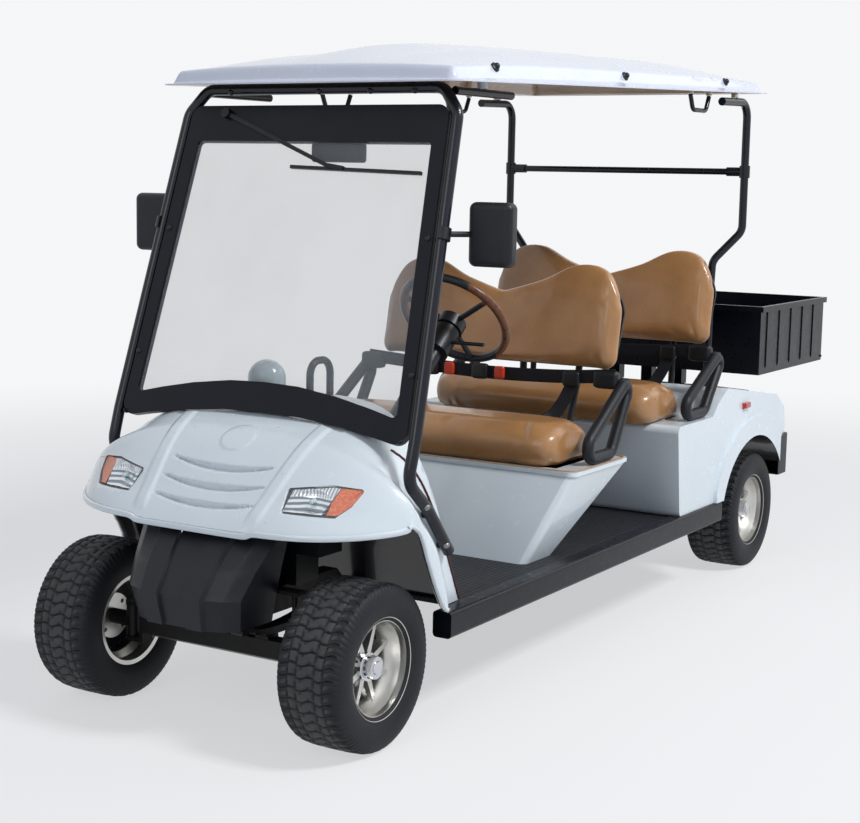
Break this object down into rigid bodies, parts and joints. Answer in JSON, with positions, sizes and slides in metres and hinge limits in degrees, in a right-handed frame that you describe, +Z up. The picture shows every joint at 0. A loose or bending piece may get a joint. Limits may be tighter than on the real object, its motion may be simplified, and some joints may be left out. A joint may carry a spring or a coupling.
{
  "type": "golf cart",
  "caption": "Open electric golf cart with a moulded roof, windscreen, bench seats that lift on hinges, steered front wheels, and a rear cargo box with a drop tailgate.",
  "frame": {"origin": "on the ground under the middle of the cart", "axes": "+X forward, +Y to the cart's left, +Z up"},
  "size_m": [3.645, 1.328, 1.9671],
  "materials": {
    "body_white": "glossy bluish-white moulded shell",
    "roof_white": "glossy white roof shell",
    "tube_black": "gloss black painted steel tube",
    "plastic_charcoal": "grained charcoal moulding",
    "vinyl_tan": "glossy tan-brown vinyl, sewn",
    "aluminium_polished": "polished cast wheel",
    "tyre_rubber": "black tread rubber",
    "glass_clear": "clear windscreen",
    "lamp_clear": "clear and amber lamp lens",
    "lamp_red": "red lamp lens",
    "steel_black": "black painted sheet steel",
    "chassis_black": "satin black chassis paint",
    "mat_black": "ribbed black rubber mat",
    "steel_bare": "bright steel pins and rods"
  },
  "bodies": {
    "chassis": {"armrests": "plastic_charcoal", "battery_pack": "plastic_charcoal", "cargo_box": "steel_black", "cargo_supports": "steel_black", "chassis_frame": "chassis_black", "dampers": "chassis_black", "dash_dome": "body_white", "dash_grab_loop": "tube_black", "dashboard": "body_white", "deck_mat": "mat_black", "floor_pan": "mat_black", "front_axle": "chassis_black", "front_backrest": "vinyl_tan", "front_bumper": "plastic_charcoal", "front_cowl": "body_white", "front_roof_hoop": "tube_black", "front_seat_pedestal": "body_white", "headlamps": "lamp_clear", "leaf_springs": "chassis_black", "mirrors": "plastic_charcoal", "pedals": "steel_black", "rear_axle": "chassis_black", "rear_backrest": "vinyl_tan", "rear_body": "body_white", "rear_bumper": "plastic_charcoal", "rear_lamps": "lamp_red", "rear_roof_hoop": "tube_black", "roof": "roof_white", "roof_grab_loops": "tube_black", "roof_rails": "tube_black", "seat_frames": "plastic_charcoal", "seat_hinges": "steel_bare", "sills": "steel_black", "steering_column": "plastic_charcoal", "windscreen_frame": "plastic_charcoal", "windscreen_glass": "glass_clear"},
    "left_knuckle": {"left_knuckle": "chassis_black"},
    "right_knuckle": {"right_knuckle": "chassis_black"},
    "tie_rod": {"tie_rod": "steel_bare"},
    "front_left_wheel": {"front_left_tyre": "tyre_rubber", "front_left_rim": "aluminium_polished"},
    "front_right_wheel": {"front_right_tyre": "tyre_rubber", "front_right_rim": "aluminium_polished"},
    "rear_left_wheel": {"rear_left_tyre": "tyre_rubber", "rear_left_rim": "aluminium_polished"},
    "rear_right_wheel": {"rear_right_tyre": "tyre_rubber", "rear_right_rim": "aluminium_polished"},
    "steering_wheel": {"steering_wheel": "plastic_charcoal"},
    "front_seat": {"front_seat_cushion": "vinyl_tan"},
    "rear_seat": {"rear_seat_cushion": "vinyl_tan"},
    "tailgate": {"tailgate": "steel_black"},
    "wiper": {"wiper": "plastic_charcoal"}
  },
  "joints": [
    {"name": "steer_left", "type": "hinge", "parent": "chassis", "child": "left_knuckle", "pos_m": [1.5775, 0.345, 0.2295], "axis": [0, 0, 1], "range_deg": [-30, 30]},
    {"name": "steer_right", "type": "hinge", "parent": "chassis", "child": "right_knuckle", "pos_m": [1.5775, -0.345, 0.2295], "axis": [0, 0, 1], "range_deg": [-30, 30]},
    {"name": "tie_rod_swing", "type": "hinge", "parent": "left_knuckle", "child": "tie_rod", "pos_m": [1.5015, 0.345, 0.1705], "axis": [0, 0, 1], "range_deg": [-30, 30]},
    {"name": "steering_turn", "type": "hinge", "parent": "chassis", "child": "steering_wheel", "pos_m": [0.7875, 0.25, 1.09], "axis": [-0.766, 0, 0.6428], "range_deg": [-420, 420]},
    {"name": "front_left_spin", "type": "hinge", "parent": "left_knuckle", "child": "front_left_wheel", "pos_m": [1.5775, 0.43, 0.2295], "axis": [0, 1, 0], "continuous": true},
    {"name": "front_right_spin", "type": "hinge", "parent": "right_knuckle", "child": "front_right_wheel", "pos_m": [1.5775, -0.43, 0.2295], "axis": [0, 1, 0], "continuous": true},
    {"name": "rear_left_spin", "type": "hinge", "parent": "chassis", "child": "rear_left_wheel", "pos_m": [-1.0725, 0.44, 0.2295], "axis": [0, 1, 0], "continuous": true},
    {"name": "rear_right_spin", "type": "hinge", "parent": "chassis", "child": "rear_right_wheel", "pos_m": [-1.0725, -0.44, 0.2295], "axis": [0, 1, 0], "continuous": true},
    {"name": "front_seat_lift", "type": "hinge", "parent": "chassis", "child": "front_seat", "pos_m": [0.1615, 0, 0.6113], "axis": [0, -1, 0], "range_deg": [0, 60]},
    {"name": "rear_seat_lift", "type": "hinge", "parent": "chassis", "child": "rear_seat", "pos_m": [-0.5625, 0, 0.6633], "axis": [0, -1, 0], "range_deg": [0, 60]},
    {"name": "tailgate_drop", "type": "hinge", "parent": "chassis", "child": "tailgate", "pos_m": [-1.8155, 0, 0.782], "axis": [0, -1, 0], "range_deg": [0, 90]},
    {"name": "wiper_sweep", "type": "hinge", "parent": "chassis", "child": "wiper", "pos_m": [1.16556, -0.315, 1.686], "axis": [-0.9557, 0, -0.2944], "range_deg": [0, 60]}
  ],
  "couplings": [
    {"joint": "steer_right", "follows": "steer_left", "ratio": 1},
    {"joint": "tie_rod_swing", "follows": "steer_left", "ratio": -1},
    {"joint": "steering_turn", "follows": "steer_left", "ratio": 14}
  ]
}
